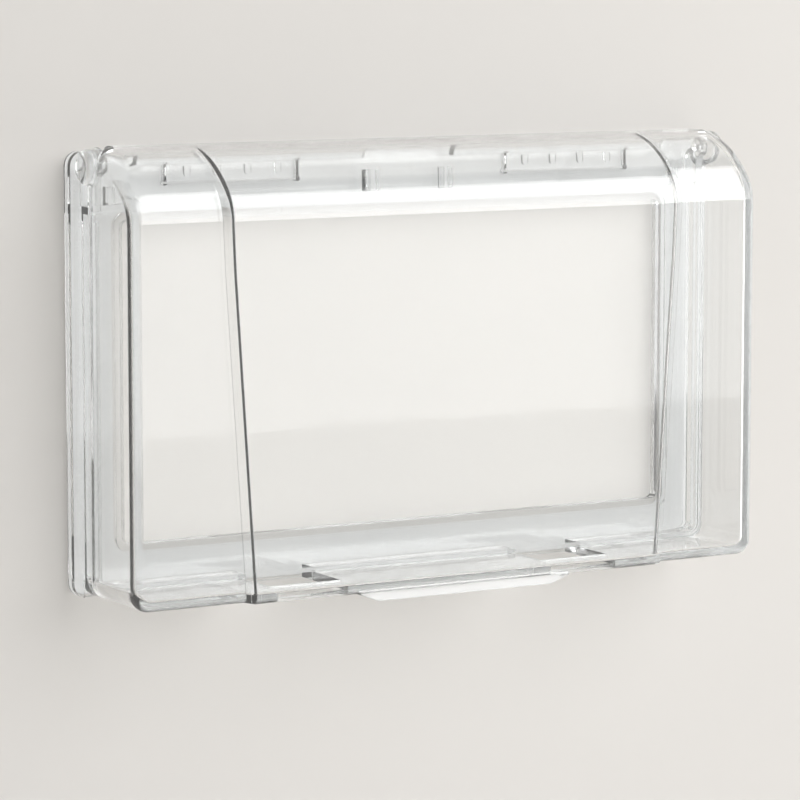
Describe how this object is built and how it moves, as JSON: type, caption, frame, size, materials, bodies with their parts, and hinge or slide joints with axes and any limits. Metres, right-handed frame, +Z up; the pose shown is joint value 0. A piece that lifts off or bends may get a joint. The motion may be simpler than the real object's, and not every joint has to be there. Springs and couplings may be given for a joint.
{
  "type": "socket splash cover",
  "caption": "Clear hinged splash cover for two socket plates side by side: wall frame with a foam gasket and a deep curved lid that swings up over a raised front panel.",
  "frame": {"origin": "middle of the flange's outline, on the wall plane at the back of the gasket", "axes": "+X to the right seen from the front, +Y into the wall, +Z up; the cover stands out of the wall towards -Y"},
  "size_m": [0.2076, 0.0391, 0.1251],
  "materials": {
    "clear_frame": "clear, polished moulded plastic",
    "clear_lid": "clear, polished moulded plastic",
    "white_foam": "matt white adhesive foam"
  },
  "bodies": {
    "frame": {"base_frame": "clear_frame", "wall_gasket": "white_foam"},
    "cover": {"lid": "clear_lid"}
  },
  "joints": [
    {"name": "lid_hinge", "type": "hinge", "parent": "frame", "child": "cover", "pos_m": [0, -0.01, 0.0567], "axis": [-1, 0, 0], "range_deg": [0, 105]}
  ]
}
